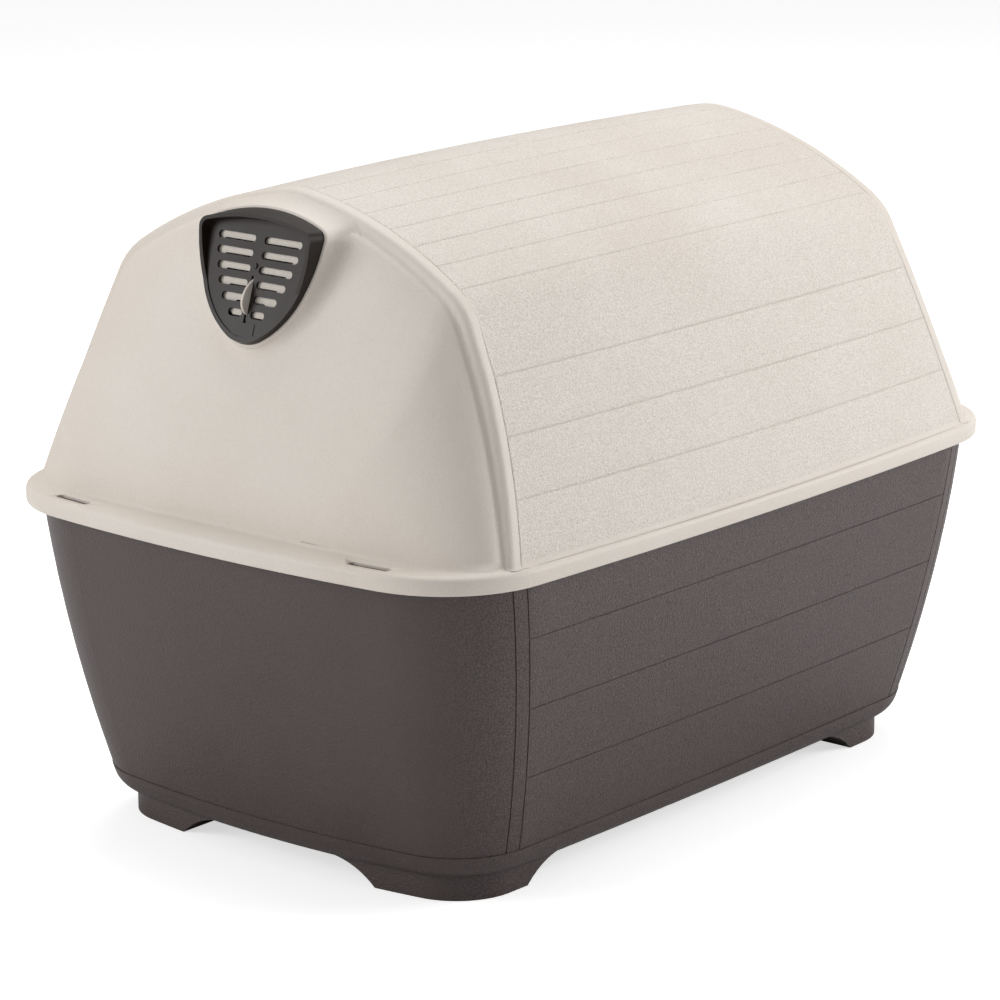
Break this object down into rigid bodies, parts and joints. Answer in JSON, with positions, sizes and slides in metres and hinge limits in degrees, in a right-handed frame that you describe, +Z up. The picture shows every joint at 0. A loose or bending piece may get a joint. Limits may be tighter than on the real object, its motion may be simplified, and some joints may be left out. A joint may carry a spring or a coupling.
{
  "type": "dog house",
  "caption": "Moulded plastic dog house: tapered tub on corner feet, lift-off barrel roof with a turned-down rim, arched doorway and hooded rear vent with a sliding shutter.",
  "frame": {"origin": "on the floor, under the middle of the house", "axes": "+Z up, +Y towards the vented rear end, -Y the doorway, +X across"},
  "size_m": [0.5878, 0.8606, 0.6085],
  "materials": {
    "roof_plastic": "fine leather grain, satin on the rim and end walls",
    "tub_plastic": "fine leather grain",
    "vent_plastic": "satin",
    "shutter_plastic": "satin",
    "edging_plastic": "satin",
    "plug_rubber": "matt"
  },
  "bodies": {
    "base": {"base_tub": "tub_plastic", "door_trim_lower": "edging_plastic", "foot_rear_left": "tub_plastic", "foot_rear_right": "tub_plastic", "foot_front_left": "tub_plastic", "foot_front_right": "tub_plastic", "rim_tab_rear_left": "tub_plastic", "rim_tab_rear_right": "tub_plastic", "rim_tab_front_left": "tub_plastic", "rim_tab_front_right": "tub_plastic"},
    "roof": {"roof_shell": "roof_plastic", "door_trim_upper": "edging_plastic", "vent_grille": "vent_plastic", "vent_retainer": "vent_plastic", "vent_pins": "vent_plastic"},
    "shutter": {"vent_shutter": "shutter_plastic"},
    "plug": {"drain_plug": "plug_rubber"}
  },
  "joints": [
    {"name": "roof_lift", "type": "slide", "parent": "base", "child": "roof", "axis": [0, 0, 1], "range_m": [0, 0.12]},
    {"name": "vent_slide", "type": "slide", "parent": "roof", "child": "shutter", "axis": [0, 0.3007, -0.9537], "range_m": [0, 0.0065]},
    {"name": "plug_lift", "type": "slide", "parent": "base", "child": "plug", "axis": [0, 0, 1], "range_m": [0, 0.03]}
  ]
}
